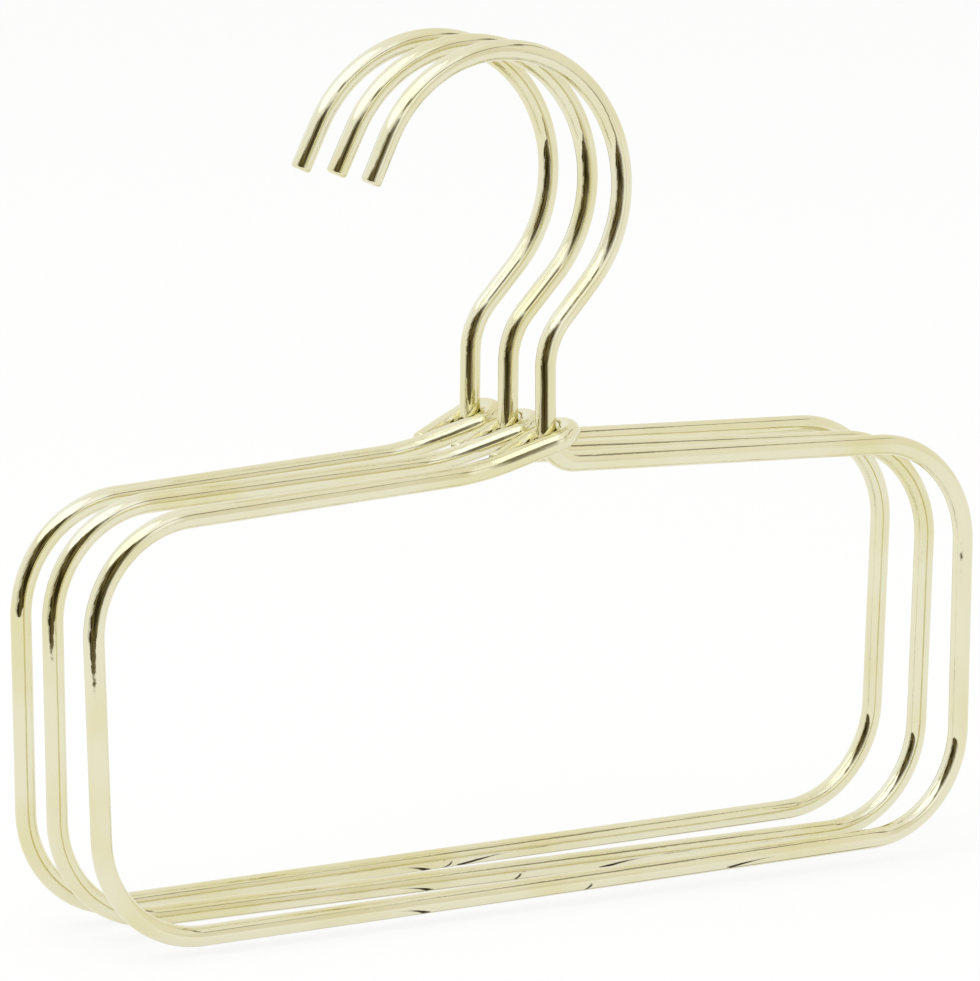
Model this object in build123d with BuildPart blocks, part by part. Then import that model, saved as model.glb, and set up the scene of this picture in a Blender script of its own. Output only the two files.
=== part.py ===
from build123d import *
import os
from math import asin, radians, sin, tan

os.makedirs("parts", exist_ok=True)

# A set of three scarf hangers on one rail. Each is a single length of round wire: hook, shank,
# and a low frame whose free end winds round the foot of the shank.
# Lengths are in mm and angles in degrees. X runs along the frame, Y along the rail, Z up.

# The wire
wire_diameter = 4.0
end_rounding = 0.7

# The frame, measured on the wire's centreline
frame_top_width = 196.0
frame_bottom_width = 192.4
frame_height = 82.8
shoulder_fall = 4.2
top_corner_radius = 21.0
bottom_corner_radius = 21.0

# The shank and the hook, measured on the wire's centreline
shank_height = 18.0
crook_radius = 14.0
crook_angle = 43.0
crook_rise = 9.1
hook_radius = 27.0
hook_turn = 197.0
hook_tip_length = 9.3

# The wound neck: heights are above the frame's top bar, reaches run left from the shank
wrap_clearance = 0.4
rise_reach = 14.7
rise_radius = 30.0
foot_radius_share = 1.65
wrap_front_height_share = 1.6
wrap_back_height_share = 1.6
tail_bend_reach_share = 0.85
tail_bend_height_share = 0.7
tail_bend_radius_share = 3.0
tail_reach_share = 2.4
tail_height_share = 0.1
tail_depth_share = 0.75

# Steps along each run of wire when the gaps in the neck are measured
gap_steps = 60

# How the three hang beside each other
neck_gap = 0.4
front_turn, front_lean, front_tilt = 0.8, -0.8, -0.6
back_turn, back_lean, back_tilt = 0.8, 1.2, -0.6
back_sidestep = -1.5

wire_radius = wire_diameter / 2
wrap_radius = wire_diameter + wrap_clearance
shoulder_slope = 2 * shoulder_fall / frame_top_width

# The hook, in the plane of the frame, from the top of the shank to its tip
with BuildLine(Plane.XZ) as hook_line:
    crook = JernArc(start=(0, shank_height), tangent=(0, 1), radius=crook_radius, arc_size=-crook_angle)
    rise = Line(crook @ 1, crook @ 1 + crook_rise * (crook % 1))
    crown = JernArc(start=rise @ 1, tangent=rise % 1, radius=hook_radius, arc_size=hook_turn)
    tip = Line(crown @ 1, crown @ 1 + hook_tip_length * (crown % 1))

# The rising end of the left bar runs tangent to the wrap's circle round the shank
strand_slant = asin(wrap_radius / rise_reach)
wrap_front = (
    wrap_radius,
    -(rise_reach + wrap_radius) * tan(strand_slant),
    wrap_front_height_share * wire_diameter,
)
wrap_back = (wrap_radius, wrap_radius, wrap_back_height_share * wire_diameter)
tail_bend = (
    -tail_bend_reach_share * wire_diameter,
    wrap_radius,
    tail_bend_height_share * wire_diameter,
)
tail_end = (
    -tail_reach_share * wire_diameter,
    tail_depth_share * wire_diameter,
    tail_height_share * wire_diameter,
)
rise_start = (-rise_reach, 0, -rise_reach * shoulder_slope)

# The frame and the neck, from the cut end behind the left bar to the top of the shank
with BuildLine() as wire_line:
    FilletPolyline(
        tail_end,
        tail_bend,
        wrap_back,
        wrap_front,
        rise_start,
        (-frame_top_width / 2, 0, -shoulder_fall),
        (-frame_bottom_width / 2, 0, -frame_height),
        (frame_bottom_width / 2, 0, -frame_height),
        (frame_top_width / 2, 0, -shoulder_fall),
        (0, 0, 0),
        (0, 0, shank_height),
        radius=[
            tail_bend_radius_share * wire_diameter,
            wrap_radius - wrap_clearance / 2,
            wrap_radius - wrap_clearance / 2,
            rise_radius,
            top_corner_radius,
            bottom_corner_radius,
            bottom_corner_radius,
            top_corner_radius,
            foot_radius_share * wire_diameter,
        ],
    )
    add(hook_line.line)

# One hanger: the round wire along the whole path, with both cut ends rounded over
path = wire_line.wire()
with BuildPart() as wire:
    with BuildSketch(Plane(origin=path @ 0, z_dir=path % 0)):
        Circle(wire_radius)
    sweep(path=path)
    cut_faces = wire.faces().filter_by(GeomType.PLANE)
    fillet(cut_faces.edges(), radius=end_rounding)


# The least clear gap between two runs of the wire, measured on points along both
def clear_gap(run, other_run):
    step_shares = [step / gap_steps for step in range(gap_steps + 1)]
    distance = min(((run @ a) - (other_run @ b)).length for a in step_shares for b in step_shares)
    return round(distance - wire_diameter, 2)


# The edges run from the tail, round the wrap and down the rising strand, and end with
# the foot, the shank and the hook's four edges
path_edges = path.edges()
tail = Wire(path_edges[:3])
rising_strand = Wire(path_edges[6:8])
winding = Wire(path_edges[:7])
foot_and_shank = Wire(path_edges[-6:-4])
print("wire length", round(path.length, 1))
print("least gap round the shank", clear_gap(winding, foot_and_shank))
print("least gap from the tail to the rising strand", clear_gap(tail, rising_strand))

# The hook's inner top rests on the rail, and each hanger turns about that point.
# The wound necks sit side by side, so a hanger that leans has its hook nearer to the next one.
saddle_height = crown.center_point.Z + hook_radius - wire_radius
saddle = Vector(crown.center_point.X, 0, saddle_height)
neck_thickness = 2 * wrap_radius + wire_diameter
neck_pitch = neck_thickness + neck_gap
neck_drop = saddle_height - wrap_back[2]
front_place = -neck_pitch - neck_drop * sin(radians(front_lean))
back_place = neck_pitch - neck_drop * sin(radians(back_lean))

seats = {
    "front_hanger": Location((0, front_place, 0), (front_lean, front_tilt, front_turn)),
    "middle_hanger": Location((0, 0, 0)),
    "back_hanger": Location((back_sidestep, back_place, 0), (back_lean, back_tilt, back_turn)),
}
for name, seat in seats.items():
    with BuildPart() as hanger:
        with Locations(seat * Location(-saddle)):
            add(wire.part)
    hanger.part.label = name
    export_step(hanger.part, f"parts/{name}.step")
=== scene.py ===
from math import asin, ceil, cos, radians, sin, tan

import bpy
import numpy as np
from mathutils import Matrix, Vector


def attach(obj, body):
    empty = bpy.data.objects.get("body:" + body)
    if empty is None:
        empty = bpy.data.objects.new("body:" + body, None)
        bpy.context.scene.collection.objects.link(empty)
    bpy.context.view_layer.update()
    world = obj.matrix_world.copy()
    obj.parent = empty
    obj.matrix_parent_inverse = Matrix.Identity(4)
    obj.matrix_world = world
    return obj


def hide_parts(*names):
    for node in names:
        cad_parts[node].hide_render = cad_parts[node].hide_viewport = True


# Three scarf hangers on one rail, each a single bent length of round steel wire plated pale gold.
# Shapes are worked out in mm in the part's frame and go into the meshes in metres. Angles are in
# degrees. X runs along the hangers' frames, Y along the rail and Z up.
mm = 0.001
skyward = np.array([0, 0, 1])

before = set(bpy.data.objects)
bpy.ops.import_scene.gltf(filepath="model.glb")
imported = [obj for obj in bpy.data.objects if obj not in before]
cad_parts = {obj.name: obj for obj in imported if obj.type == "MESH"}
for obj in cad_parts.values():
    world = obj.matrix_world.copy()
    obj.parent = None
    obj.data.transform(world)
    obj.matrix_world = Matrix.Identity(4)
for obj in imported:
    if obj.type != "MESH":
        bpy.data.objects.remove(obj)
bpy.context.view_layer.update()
print("frame loaded", sorted(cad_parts))


# Small helpers

def linearColour(hexColour):
    # sRGB hex to the linear values that shaders take
    parts = [int(hexColour[i:i + 2], 16) / 255 for i in (1, 3, 5)]
    return [c / 12.92 if c <= 0.04045 else ((c + 0.055) / 1.055) ** 2.4 for c in parts] + [1.0]


def addNode(tree, kind, settings=None, values=None, links=None):
    # one node with its settings, socket values and incoming links
    node = tree.nodes.new(kind)
    for name, value in (settings or {}).items():
        setattr(node, name, value)
    for socket, value in (values or {}).items():
        node.inputs[socket].default_value = value
    for socket, source in (links or {}).items():
        tree.links.new(source, node.inputs[socket])
    return node


def newMaterial(name):
    material = bpy.data.materials.new(name)
    material.use_nodes = True
    material.node_tree.nodes.clear()
    return material, material.node_tree


def gridMesh(name, points, attributes, wrapAround=False):
    # A grid of points (rows, columns, 3) in mm becomes quads. With wrapAround the last column joins
    # the first one, and the first and last rows are closed by one flat face each.
    rows, columns = points.shape[:2]
    across = columns if wrapAround else columns - 1
    row, column = np.meshgrid(np.arange(rows - 1), np.arange(across), indexing="ij")
    beside = (column + 1) % columns
    quads = np.stack([row * columns + column, row * columns + beside,
                      (row + 1) * columns + beside, (row + 1) * columns + column], axis=-1)
    faces = quads.reshape(-1, 4).tolist()
    if wrapAround:
        faces.append(list(range(columns))[::-1])
        faces.append(list(range((rows - 1) * columns, rows * columns)))
    mesh = bpy.data.meshes.new(name)
    mesh.from_pydata((points.reshape(-1, 3) * mm).tolist(), [], faces)
    for key, (kind, values) in attributes.items():
        layer = mesh.attributes.new(key, kind, "POINT")
        field = "vector" if kind == "FLOAT_VECTOR" else "value"
        layer.data.foreach_set(field, np.ascontiguousarray(values, dtype=np.float32).ravel())
    mesh.polygons.foreach_set("use_smooth", np.ones(len(faces), dtype=bool))
    mesh.update()
    thing = bpy.data.objects.new(name, mesh)
    bpy.context.scene.collection.objects.link(thing)
    return thing


def smoothStep(low, high, values):
    # 0 below low, 1 above high, and t t (3 - 2 t) between them
    t = np.clip((values - low) / (high - low), 0, 1)
    return t * t * (3 - 2 * t)


def softSpan(low, high, soft, values):
    # 1 between low and high, with a soft step down to 0 inside each end
    return smoothStep(low, low + soft, values) * (1 - smoothStep(high - soft, high, values))


# The camera stands where the photograph was taken from

camera = {
    "place": (-586.789, -1014.268, 123.581),
    "yaw": 30.3028,  # from the rail's direction towards the right end of the frames
    "pitch": 10.0471,  # downwards
    "roll": -0.5928,
    "lens": 227.448,
    "sensor": 36.0,
    "clip": (0.01, 50.0),  # m
}


def makeCamera(view):
    yaw, pitch, roll = (radians(view[key]) for key in ("yaw", "pitch", "roll"))
    forward = Vector((sin(yaw) * cos(pitch), cos(yaw) * cos(pitch), -sin(pitch)))
    levelRight = Vector((cos(yaw), -sin(yaw), 0))
    levelDown = forward.cross(levelRight)
    right = levelRight * cos(roll) + levelDown * sin(roll)
    down = levelDown * cos(roll) - levelRight * sin(roll)
    turn = Matrix((right, -down, -forward)).transposed()
    lens = bpy.data.cameras.new("camera")
    lens.sensor_fit = "HORIZONTAL"
    lens.sensor_width = view["sensor"]
    lens.lens = view["lens"]
    lens.clip_start, lens.clip_end = view["clip"]
    eye = bpy.data.objects.new("camera", lens)
    eye.matrix_world = Matrix.Translation(Vector(view["place"]) * mm) @ turn.to_4x4()
    bpy.context.scene.collection.objects.link(eye)
    bpy.context.scene.camera = eye


makeCamera(camera)
print("camera placed")


# The wire: its sizes are those of the CAD part, and its shares are parts of the diameter

wire = {
    "diameter": 4.0,
    "endRounding": 0.7,
    "frameTopWidth": 196.0,
    "frameBottomWidth": 192.4,
    "frameHeight": 82.8,
    "shoulderFall": 4.2,
    "cornerRadius": 21.0,
    "shankHeight": 18.0,
    "crookRadius": 14.0,
    "crookAngle": 43.0,
    "crookRise": 9.1,
    "hookRadius": 27.0,
    "hookTurn": 197.0,
    "hookTipLength": 9.3,
    "wrapClearance": 0.4,
    "riseReach": 14.7,
    "riseRadius": 30.0,
    "footRadiusShare": 1.65,
    "wrapFrontHeightShare": 1.6,
    "wrapBackHeightShare": 1.6,
    "tailBendReachShare": 0.85,
    "tailBendHeightShare": 0.7,
    "tailBendRadiusShare": 3.0,
    "tailReachShare": 2.4,
    "tailHeightShare": 0.1,
    "tailDepthShare": 0.75,
    "sides": 56,
    "bendStep": 0.8,  # mm from ring to ring in the bends
    "runStep": 4.0,  # mm from ring to ring on straight runs
    "skin": 0.004,  # mm by which the surface lies inside the CAD's
    "endRings": 9,  # rings on each rounded end
    "endClear": 0.3,  # mm beside each rounded end without other rings
}


def turnedAbout(vectors, axis, angles):
    # each angle turns the vector about the axis: Rodrigues' formula on whole arrays
    c, s = np.cos(angles)[:, None], np.sin(angles)[:, None]
    v = np.asarray(vectors, dtype=float)[None, :]
    return v * c + np.cross(axis[None, :], v) * s + axis[None, :] * (v @ axis)[:, None] * (1 - c)


class Walk:
    # A path made of straight runs and arcs. Each adds rows of places, headings and sides, and the
    # side is carried along without twist.
    def __init__(self, start, heading, side):
        heading = heading / np.linalg.norm(heading)
        side = side - heading * (side @ heading)
        self.places = np.array([start], dtype=float)
        self.headings = np.array([heading])
        self.sides = np.array([side / np.linalg.norm(side)])

    def extend(self, places, headings, sides):
        self.places = np.vstack([self.places, places])
        self.headings = np.vstack([self.headings, headings])
        self.sides = np.vstack([self.sides, sides])

    def run(self, length, step):
        # straight on: place plus heading times length
        count = max(1, ceil(length / step))
        reach = np.linspace(0, length, count + 1)[1:, None]
        here, heading, side = self.places[-1], self.headings[-1], self.sides[-1]
        self.extend(here + reach * heading, np.repeat(heading[None], count, 0),
                    np.repeat(side[None], count, 0))

    def arc(self, radius, angle, axis, step):
        # round a centre that lies one radius to the inner side of the bend
        count = max(2, ceil(radius * angle / step))
        angles = np.linspace(0, angle, count + 1)[1:]
        here, heading, side = self.places[-1], self.headings[-1], self.sides[-1]
        centre = here + np.cross(axis, heading) * radius
        self.extend(centre + turnedAbout(here - centre, axis, angles),
                    turnedAbout(heading, axis, angles), turnedAbout(side, axis, angles))


def wirePath(w):
    # The centreline from the cut end behind the left bar, round the neck and the frame, up the
    # shank and round the hook to its tip. Returns the walk along it and the saddle's place.
    d = w["diameter"]
    wrap = d + w["wrapClearance"]
    reach = w["riseReach"]
    slope = 2 * w["shoulderFall"] / w["frameTopWidth"]
    slant = asin(wrap / reach)
    halfTop, halfBottom = w["frameTopWidth"] / 2, w["frameBottomWidth"] / 2
    corners = np.array([
        (-w["tailReachShare"] * d, w["tailDepthShare"] * d, w["tailHeightShare"] * d),
        (-w["tailBendReachShare"] * d, wrap, w["tailBendHeightShare"] * d),
        (wrap, wrap, w["wrapBackHeightShare"] * d),
        (wrap, -(reach + wrap) * tan(slant), w["wrapFrontHeightShare"] * d),
        (-reach, 0, -reach * slope),
        (-halfTop, 0, -w["shoulderFall"]),
        (-halfBottom, 0, -w["frameHeight"]),
        (halfBottom, 0, -w["frameHeight"]),
        (halfTop, 0, -w["shoulderFall"]),
        (0, 0, 0),
        (0, 0, w["shankHeight"]),
    ])
    wrapBend = wrap - w["wrapClearance"] / 2
    radii = [w["tailBendRadiusShare"] * d, wrapBend, wrapBend, w["riseRadius"]]
    radii += [w["cornerRadius"]] * 4 + [w["footRadiusShare"] * d]
    towardsBack = np.array([0.0, 1.0, 0.0])
    walk = Walk(corners[0], corners[1] - corners[0], towardsBack)
    for corner, following, radius in zip(corners[1:-1], corners[2:], radii):
        heading = walk.headings[-1]
        onward = (following - corner) / np.linalg.norm(following - corner)
        angle = np.arccos(np.clip(heading @ onward, -1, 1))
        walk.run(np.linalg.norm(corner - walk.places[-1]) - radius * tan(angle / 2), w["runStep"])
        axis = np.cross(heading, onward)
        walk.arc(radius, angle, axis / np.linalg.norm(axis), w["bendStep"])
    walk.run(np.linalg.norm(corners[-1] - walk.places[-1]), w["runStep"])
    walk.arc(w["crookRadius"], radians(w["crookAngle"]), towardsBack, w["bendStep"])
    walk.run(w["crookRise"], w["runStep"])
    hookStart, hookHeading = walk.places[-1], walk.headings[-1]
    hookCentre = hookStart - np.cross(towardsBack, hookHeading) * w["hookRadius"]
    walk.arc(w["hookRadius"], radians(w["hookTurn"]), -towardsBack, w["bendStep"])
    walk.run(w["hookTipLength"], w["runStep"])
    return walk, hookCentre + np.array([0, 0, w["hookRadius"] - d / 2])


def wireSurface(w):
    # A circle carried along the centreline: place + radius * (side cos a + across sin a), where
    # across is heading x side. At both ends the radius follows a quarter round of the rounding:
    # radius - rounding (1 - cos t) at a distance of rounding (1 - sin t) before the end.
    walk, saddle = wirePath(w)
    radius = w["diameter"] / 2 - w["skin"]
    rounding, clear = w["endRounding"], w["endClear"]
    steps = np.linalg.norm(np.diff(walk.places, axis=0), axis=1)
    lengths = np.concatenate([[0], np.cumsum(steps)])
    total = lengths[-1]
    t = np.linspace(0, np.pi / 2, w["endRings"])[::-1]
    startAlong = w["skin"] + rounding * (1 - np.sin(t))
    startRadius = radius - rounding * (1 - np.cos(t))
    middle = (lengths > rounding + clear) & (lengths < total - rounding - clear)
    along = np.concatenate([startAlong, lengths[middle], total - startAlong[::-1]])
    radii = np.concatenate([startRadius, np.full(middle.sum(), radius), startRadius[::-1]])

    def atLengths(rows):
        # the path is straight between its own rows, so the middle rings keep the path's rows
        return np.stack([np.interp(along, lengths, rows[:, i]) for i in range(3)], axis=1)

    places, headings, sides = (atLengths(rows) for rows in (walk.places, walk.headings, walk.sides))
    headings /= np.linalg.norm(headings, axis=1)[:, None]
    sides -= headings * np.sum(headings * sides, axis=1)[:, None]
    sides /= np.linalg.norm(sides, axis=1)[:, None]
    acrosses = np.cross(headings, sides)
    angles = np.linspace(0, 2 * np.pi, w["sides"], endpoint=False)
    c, s = np.cos(angles), np.sin(angles)
    ring = sides[:, None] * c[None, :, None] + acrosses[:, None] * s[None, :, None]
    points = places[:, None] + radii[:, None, None] * ring
    # the same wire laid straight, for patterns that follow it: x and y across it, z along it
    straight = np.stack([radii[:, None] * c, radii[:, None] * s,
                         np.repeat(along[:, None], w["sides"], 1)], axis=-1)
    return points, straight, total, saddle


def seated(points, saddle, seat):
    # turned about the saddle by the seat's lean, tilt and turn, then moved to the seat's place
    lean, tilt, turn = (radians(angle) for angle in seat["angles"])
    aboutX = np.array([[1, 0, 0], [0, cos(lean), -sin(lean)], [0, sin(lean), cos(lean)]])
    aboutY = np.array([[cos(tilt), 0, sin(tilt)], [0, 1, 0], [-sin(tilt), 0, cos(tilt)]])
    aboutZ = np.array([[cos(turn), -sin(turn), 0], [sin(turn), cos(turn), 0], [0, 0, 1]])
    return (points - saddle) @ (aboutX @ aboutY @ aboutZ).T + np.array(seat["place"])


# Pale gold electroplate on bright drawn steel wire: a thin mirror-bright metal layer, so the eye
# sees the room in it, a little softened by the draw marks that the plating doesn't level out.

plate = {
    "colour": "#E6E2C5",
    "thinColour": "#E2DCB3",
    "roughness": 0.05,
    "roughnessShares": (0.8, 1.3),  # of the roughness, as it varies with the draw lines
    "toneSize": 22.0,  # mm between paler and yellower stretches of plating
    "toneRange": (0.35, 0.55),  # noise values at which the plating is all thin and all full
    "drawLineWidth": 0.35,  # mm; real die lines are finer, drawn as coarse as the render shows
    "drawLineLength": 16.0,  # mm
    "drawLineDepth": 0.011,  # mm, as the other depths
    "peelSize": 2.2,  # mm, the slight waviness of bright plating
    "peelDepth": 0.018,
    "swaySize": 13.0,  # mm, flats left by the straightening rolls
    "swayDepth": 0.09,
}


def goldPlate(p):
    material, tree = newMaterial("pale gold electroplate on bright drawn steel wire")
    straight = addNode(tree, "ShaderNodeAttribute",
                       {"attribute_name": "straightWire"}).outputs["Vector"]
    place = addNode(tree, "ShaderNodeTexCoord").outputs["Object"]
    noise = {name: addNode(tree, "ShaderNodeTexNoise",
                           values={"Scale": 1 / (p[name + "Size"] * mm), "Detail": detail},
                           links={"Vector": place}).outputs["Fac"]
             for name, detail in (("tone", 2.0), ("peel", 1.0), ("sway", 0.0))}
    thin, full = p["toneRange"]
    fullness = addNode(tree, "ShaderNodeMapRange", values={"From Min": thin, "From Max": full},
                       links={"Value": noise["tone"]}).outputs[0]
    # sockets 6 and 7 are the mix's two colours, and output 2 its colour
    colour = addNode(tree, "ShaderNodeMix", {"data_type": "RGBA"},
                     {6: linearColour(p["thinColour"]), 7: linearColour(p["colour"])},
                     {0: fullness}).outputs[2]
    fine, drawn = 1 / p["drawLineWidth"], 1 / p["drawLineLength"]
    stretched = addNode(tree, "ShaderNodeMapping", values={"Scale": (fine, fine, drawn)},
                        links={"Vector": straight}).outputs[0]
    noise["drawLine"] = addNode(tree, "ShaderNodeTexNoise", values={"Scale": 1.0, "Detail": 3.0},
                                links={"Vector": stretched}).outputs["Fac"]
    # each bump stands on the one before it, from the widest waves to the finest lines
    normal = {}
    for name in ("sway", "peel", "drawLine"):
        bump = addNode(tree, "ShaderNodeBump",
                       values={"Strength": 1.0, "Distance": p[name + "Depth"] * mm},
                       links={"Height": noise[name], **normal})
        normal = {"Normal": bump.outputs[0]}
    smooth, rough = (p["roughness"] * share for share in p["roughnessShares"])
    roughness = addNode(tree, "ShaderNodeMapRange", values={"To Min": smooth, "To Max": rough},
                        links={"Value": noise["drawLine"]}).outputs[0]
    metal = addNode(tree, "ShaderNodeBsdfPrincipled", values={"Metallic": 1.0},
                    links={"Base Color": colour, "Roughness": roughness, **normal})
    addNode(tree, "ShaderNodeOutputMaterial", links={"Surface": metal.outputs[0]})
    return material


# where each hanger's saddle sits on the rail, and its lean, tilt and turn there
seats = {
    "front": {"place": (0, -12.205652, 0), "angles": (-0.8, -0.6, 0.8)},
    "middle": {"place": (0, 0, 0), "angles": (0, 0, 0)},
    "back": {"place": (-1.5, 11.708538, 0), "angles": (1.2, -0.6, 0.8)},
}


def makeHangers(w, material):
    points, straight, total, saddle = wireSurface(w)
    for order, (name, seat) in enumerate(seats.items()):
        # each wire is another length of the same coil, so its pattern starts further along
        coil = straight + np.array([0, 0, order * total])
        hanger = gridMesh(name + "Wire", seated(points, saddle, seat),
                          {"straightWire": ("FLOAT_VECTOR", coil)}, wrapAround=True)
        hanger.data.materials.append(material)
        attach(hanger, name + "_hanger")
        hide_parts(name + "_hanger")
    print("hangers bent, wire length", round(total, 1), "mm,", len(points), "rings each")


makeHangers(wire, goldPlate(plate))


# The studio is a pale tent, lit through its top and open towards the dark room on the camera's
# side. Directions are azimuth from the camera's side, growing to the picture's right, and elevation.

def cameraSide(yaw):
    # level directions: towards the camera, and to the picture's right
    return np.array([-sin(yaw), -cos(yaw), 0]), np.array([cos(yaw), -sin(yaw), 0])


toCamera, toRight = cameraSide(radians(camera["yaw"]))


def direction(azimuth, elevation):
    # unit vectors: (to the camera cos azimuth + to the right sin azimuth) cos elevation, and up by
    # sin elevation
    azimuth, elevation = np.radians(azimuth)[..., None], np.radians(elevation)[..., None]
    level = toCamera * np.cos(azimuth) + toRight * np.sin(azimuth)
    return level * np.cos(elevation) + skyward * np.sin(elevation)


def seenOrMirrored(tree):
    # 1 for what the camera sees, straight, in a mirror or through glass, and 0 for light that
    # falls on the object
    rays = addNode(tree, "ShaderNodeLightPath")
    mirrored = addNode(tree, "ShaderNodeMath", {"operation": "MAXIMUM"},
                       links={0: rays.outputs["Is Glossy Ray"], 1: rays.outputs["Is Transmission Ray"]})
    return addNode(tree, "ShaderNodeMath", {"operation": "MAXIMUM"},
                   links={0: rays.outputs["Is Camera Ray"], 1: mirrored.outputs[0]}).outputs[0]


tent = {
    "strength": 0.96,  # of its light on the object; the camera and mirrors see 1
}


def makeWorld(s):
    world = bpy.data.worlds.new("white tent")
    world.use_nodes = True
    tree = world.node_tree
    tree.nodes.clear()
    strength = addNode(tree, "ShaderNodeMapRange", values={"To Min": s["strength"], "To Max": 1.0},
                       links={"Value": seenOrMirrored(tree)}).outputs[0]
    light = addNode(tree, "ShaderNodeBackground", values={"Color": (1, 1, 1, 1)},
                    links={"Strength": strength})
    addNode(tree, "ShaderNodeOutputWorld", links={"Surface": light.outputs[0]})
    bpy.context.scene.world = world


floor = {
    "height": -164.5,  # mm, just under the lowest bar
    "front": 290.0,  # mm from the rail towards the camera, where the white paper ends
    "back": 4000.0,  # mm from the rail, away from the camera
    "halfWidth": 3000.0,  # mm to each side
    "colour": "#F4F3F2",
    "shadowShare": 0.2,  # how much of the floor's own light and shadow the camera sees
}


def makeFloor(f):
    # White paper, matt. The camera sees mostly plain white and a share of the paper's own light,
    # so its shadow stays.
    material, tree = newMaterial("white paper sweep")
    share = addNode(tree, "ShaderNodeMapRange", values={"To Min": 1.0, "To Max": f["shadowShare"]},
                    links={"Value": seenOrMirrored(tree)}).outputs[0]
    paper = addNode(tree, "ShaderNodeBsdfDiffuse", values={"Color": linearColour(f["colour"])})
    white = addNode(tree, "ShaderNodeEmission", values={"Color": (1, 1, 1, 1), "Strength": 1.0})
    both = addNode(tree, "ShaderNodeMixShader",
                   links={0: share, 1: white.outputs[0], 2: paper.outputs[0]})
    addNode(tree, "ShaderNodeOutputMaterial", links={"Surface": both.outputs[0]})
    underRail = np.array([0, 0, f["height"]])
    corners = np.array([[underRail + toCamera * a + toRight * b
                         for b in (-f["halfWidth"], f["halfWidth"])]
                        for a in (f["front"], -f["back"])])
    sweep = gridMesh("floor", corners, {})
    sweep.data.materials.append(material)


def glowCard(name, points, cover, colour, strength=1.0, shapes=None):
    # A card that only reflections see. Its cover runs from 0, clear, to 1, its own light. With
    # shapes its light varies between two tones, like dim things in a room.
    card = gridMesh(name, points, {"cover": ("FLOAT", cover)})
    material, tree = newMaterial(name)
    amount = addNode(tree, "ShaderNodeAttribute", {"attribute_name": "cover"}).outputs["Fac"]
    clear = addNode(tree, "ShaderNodeBsdfTransparent")
    light = addNode(tree, "ShaderNodeEmission",
                    values={"Color": list(colour) + [1], "Strength": strength})
    if shapes:
        place = addNode(tree, "ShaderNodeTexCoord").outputs["Object"]
        noise = addNode(tree, "ShaderNodeTexNoise",
                        values={"Scale": 1 / (shapes["size"] * mm), "Detail": 2.0},
                        links={"Vector": place}).outputs["Fac"]
        (low, high), (dim, bright) = shapes["range"], shapes["tones"]
        tones = addNode(tree, "ShaderNodeMapRange",
                        values={"From Min": low, "From Max": high, "To Min": dim, "To Max": bright},
                        links={"Value": noise}).outputs[0]
        tree.links.new(tones, light.inputs["Strength"])
    mixed = addNode(tree, "ShaderNodeMixShader",
                    links={0: amount, 1: clear.outputs[0], 2: light.outputs[0]})
    addNode(tree, "ShaderNodeOutputMaterial", links={"Surface": mixed.outputs[0]})
    card.data.materials.append(material)
    card.visible_camera = False
    card.visible_diffuse = False
    card.visible_shadow = False


# The dark room as seen through the tent's opening, a flat card. Its places are mm to the right of
# and above the card's point level with the rail, and each edge is soft between its two places.
opening = {
    "distance": 247.0,
    "turn": -19.0,  # the card's azimuth
    "roomColour": (0.092, 0.075, 0.033),
    "shapes": {"size": 55.0, "range": (0.4, 0.62), "tones": (0.35, 2.0)},
    "deepLeft": (-142, -110),
    "deepRight": (130, 400),
    "paleLeft": (-290, -150),
    "paleCover": 0.4,
    "top": (88, 126),
    "topFall": (100, 0.15),  # right of this place the top edge falls by this much per mm
    "bottom": -148,
    "margins": (10, 30),  # mm of clear card beside and above the opening
    "rows": 161,
    "columns": 351,
    # things that stand in the opening's edge: waves as reach, length and start, in mm
    "sideWaves": ((20, 46, 0.4), (11, 19, 2.1), (6, 9, 4.0)),
    "topWaves": ((9, 60, 1.2), (7, 23, 0.3), (4, 11, 3.3)),
}


def makeOpening(o):
    # a runs along the card and z up it: the cover is a product of soft steps in a and z
    turn = radians(o["turn"])
    outwards = toCamera * cos(turn) + toRight * sin(turn)
    along = -toCamera * sin(turn) + toRight * cos(turn)
    beside, above = o["margins"]
    a = np.linspace(o["paleLeft"][0] - beside, o["deepRight"][1] + beside, o["columns"])[None, :]
    z = np.linspace(o["bottom"], o["top"][1] + above, o["rows"])[:, None]

    def waved(values, other, waves):
        # the edges are ragged: a and z are moved by sums of sines of the other one
        return values + sum(reach * np.sin(2 * np.pi * other / length + begin)
                            for reach, length, begin in waves)

    across, up = waved(a, z, o["sideWaves"]), waved(z, a, o["topWaves"])
    left, right = smoothStep(*o["deepLeft"], across), smoothStep(*o["deepRight"], across)
    deep = left * (1 - right)
    pale = o["paleCover"] * smoothStep(*o["paleLeft"], across) * (1 - left)
    fallStart, fall = o["topFall"]
    below = 1 - smoothStep(*o["top"], up + fall * np.clip(a - fallStart, 0, None))
    points = outwards * o["distance"] + a[..., None] * along + z[..., None] * skyward
    glowCard("dark room behind the tent opening", points, (deep + pale) * below, o["roomColour"],
             shapes=o["shapes"])


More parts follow.
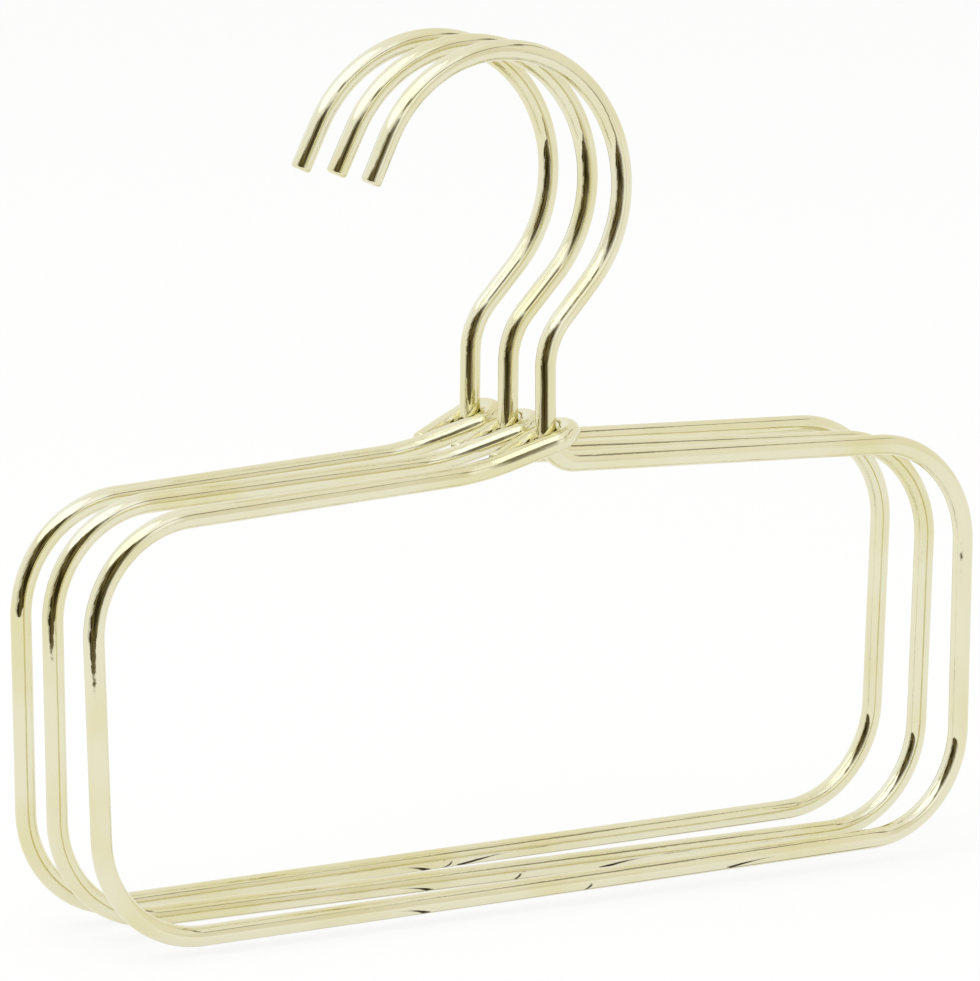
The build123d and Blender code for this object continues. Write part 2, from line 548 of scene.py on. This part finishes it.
# patches of the tent that differ from its plain white: where, how bright, how soft the edges are
patches = {
    "softbox": {"azimuth": (-112, 32), "elevation": (34, 84), "soft": (12, 4),
                "colour": (0.93, 0.95, 1.02), "strength": 1.55},
    "lit side panel": {"azimuth": (20, 60), "elevation": (-2, 64), "soft": (6, 10),
                       "colour": (0.97, 0.98, 1.03), "strength": 1.15},
    "lit back panel": {"azimuth": (-165, -100), "elevation": (-5, 66), "soft": (16, 16),
                       "colour": (0.94, 0.97, 1.08), "strength": 1.1},
    "right wall": {"azimuth": (46, 190), "elevation": (-2, 68), "soft": (14, 5),
                   "colour": (1.0, 0.98, 0.9), "strength": 0.95},
    "shaded wall end": {"azimuth": (48, 68), "elevation": (-14, 44), "soft": (6, 8),
                        "colour": (1.0, 0.97, 0.86), "strength": 0.86},
}
patchPlaces = {
    "distance": 1000.0,  # mm from the rail to the first patch
    "gap": 5.0,  # mm by which each next patch stands nearer
    "rows": 41,
    "columns": 61,
}


def makePatches(p):
    # each patch is a piece of a sphere round the rail, its cover a soft step in from every edge
    for order, (name, patch) in enumerate(patches.items()):
        azimuth = np.linspace(*patch["azimuth"], p["columns"])[None, :]
        elevation = np.linspace(*patch["elevation"], p["rows"])[:, None]
        softAzimuth, softElevation = patch["soft"]
        cover = (softSpan(*patch["azimuth"], softAzimuth, azimuth)
                 * softSpan(*patch["elevation"], softElevation, elevation))
        points = (p["distance"] - p["gap"] * order) * direction(azimuth, elevation)
        glowCard(name, points, cover, patch["colour"], patch["strength"])


def edgeFade(across):
    # from -1 to 1 across a strip: 1 in the middle and 0 at both edges
    return 1 - across ** 4


# Dark seams of the tent as azimuths and elevations, with how much of the seam shows at each. Each
# has how wide it is in degrees and how dark its light is.
seams = {
    "roof seam": {
        "azimuth": (8, 14, 20, 27, 37, 45, 52, 61, 67, 72, 77, 80, 90, 103, 115, 122),
        "elevation": (38, 31, 25, 22, 23, 25, 29, 34, 36, 38, 40, 42, 46, 48, 42, 34),
        "shows": (0.95, 0.95, 0.95, 0.95, 0.9, 0.9, 0.9, 0.75, 0.6, 0.25, 0.4, 0.85, 0.9, 0.9,
                  0.9, 0.9),
        "width": 6.5,
        "strength": 0.22,
    },
    "wall foot": {
        "azimuth": (18, 25, 40, 52, 61, 70, 82),
        "elevation": (-25, -23, -21, -17, -16, -20, -23),
        "shows": (1.0, 1.0, 0.9, 0.8, 0.7, 0.6, 0.6),
        "width": 6.0,
        "strength": 0.35,
    },
}
seamLook = {
    "colour": (1, 0.87, 0.55),
    "distance": 900.0,  # mm from the rail
    "fullFrom": 0.08,  # shares of a seam's way between which it shows in full
    "fullTo": 0.9,
    "rows": 97,
    "columns": 9,
}


def makeSeams(look):
    # The seam's middle runs through its directions on a sphere round the rail. Its cover follows how
    # much of it shows, with soft ends, and falls from the middle to both edges.
    for name, seam in seams.items():
        step = np.linspace(0, 1, look["rows"])
        knots = np.linspace(0, 1, len(seam["azimuth"]))
        azimuth, elevation, shows = (np.interp(step, knots, seam[key])
                                     for key in ("azimuth", "elevation", "shows"))
        towards = direction(azimuth, elevation)
        sideways = np.cross(towards, np.gradient(towards, axis=0))
        sideways /= np.linalg.norm(sideways, axis=1)[:, None]
        across = np.linspace(-1, 1, look["columns"])
        half = np.radians(seam["width"]) / 2
        spread = across[None, :, None] * half * sideways[:, None]
        points = look["distance"] * (towards[:, None] + spread)
        ends = smoothStep(0, look["fullFrom"], step) * (1 - smoothStep(look["fullTo"], 1, step))
        cover = (shows * ends)[:, None] * edgeFade(across)[None, :]
        glowCard(name, points, cover, look["colour"], seam["strength"])


# thin shadow lines on the floor, which only the bars' undersides show: where each starts under
# the front, middle and back bar, which way it runs, and its width and length in mm
floorLines = {
    "bars": (-16.4, -2.5, 13.8),
    "lines": {
        "left": {"starts": (-15.8, -7.0, 1.3), "heading": (-0.57, -1.0), "width": 2.5, "length": 12.0},
        "middle": {"starts": (21.7, 13.9, 6.8), "heading": (0.49, -1.0), "width": 0.9, "length": 13.0},
        "right": {"starts": (55.9, 34.5, 10.9), "heading": (1.54, -1.0), "width": 2.6, "length": 25.0},
    },
    "before": 2.0,  # mm by which a line begins before its start
    "fadeFrom": 0.2,  # share of its way after which a line fades
    "taper": 0.85,  # share of its width that a line loses on its way
    "strength": 0.4,
    # the shadow that each bar leaves along its foot, with its cover at the left and what the
    # cover gains to the right
    "contact": {"from": -76.0, "to": 94.0, "behind": 2.0, "width": 1.5, "cover": 0.2, "gain": 0.5,
                "soft": 0.05, "strength": 2.5},
    "colour": (0.08, 0.055, 0.025),
    "lift": 0.2,  # mm above the floor
    "rows": 25,
    "columns": 9,
}


def makeFloorLines(f, floorHeight):
    # A line is a flat strip: start + reach * way + across * side * width / 2, with reach from 0 to 1
    # and side from -1 to 1. Its cover falls from the middle to both long edges.
    height = floorHeight + f["lift"]
    reach = np.linspace(0, 1, f["rows"])[:, None, None]
    side = np.linspace(-1, 1, f["columns"])[None, :, None]
    edges = edgeFade(side[..., 0])

    for name, line in f["lines"].items():
        heading = np.array([*line["heading"], 0]) / np.hypot(*line["heading"])
        across = np.cross(heading, skyward)
        narrowed = (1 - f["taper"] * reach) * line["width"] / 2
        cover = (1 - smoothStep(f["fadeFrom"], 1, reach[..., 0])) * edges
        for order, (x, y) in enumerate(zip(line["starts"], f["bars"])):
            start = np.array([x, y, height]) - f["before"] * heading
            points = start + reach * heading * line["length"] + across * side * narrowed
            glowCard(f"{name} shadow line {order}", points, cover, f["colour"], f["strength"])

    contact = f["contact"]
    across = np.array([0, 1.0, 0])
    cover = ((contact["cover"] + contact["gain"] * reach[..., 0])
             * softSpan(0, 1, contact["soft"], reach[..., 0]) * edges)
    for order, y in enumerate(f["bars"]):
        start, finish = (np.array([contact[key], y + contact["behind"], height])
                         for key in ("from", "to"))
        points = start + reach * (finish - start) + across * side * contact["width"] / 2
        glowCard(f"contact shadow {order}", points, cover, f["colour"], contact["strength"])


softboxLamp = {
    "direction": (-40, 60),  # azimuth and elevation
    "distance": 1400.0,
    "size": (1.4, 1.0),  # m
    "strength": 1.35,  # how bright the lamp's face is
}


def makeLamp(s):
    towards = direction(*s["direction"])
    light = bpy.data.lights.new("softbox lamp", "AREA")
    light.shape = "RECTANGLE"
    light.size, light.size_y = s["size"]
    light.energy = s["strength"] * light.size * light.size_y * np.pi
    lamp = bpy.data.objects.new("softbox lamp", light)
    lamp.location = Vector(towards * s["distance"] * mm)
    lamp.rotation_euler = Vector(towards).to_track_quat("Z", "Y").to_euler()
    lamp.visible_glossy = False
    bpy.context.scene.collection.objects.link(lamp)


makeWorld(tent)
makeFloor(floor)
print("tent and floor set")
makeOpening(opening)
makePatches(patchPlaces)
makeSeams(seamLook)
makeFloorLines(floorLines, floor["height"])
print("reflections set")
makeLamp(softboxLamp)
print("lamp set")

bpy.context.scene.view_settings.view_transform = "Standard"
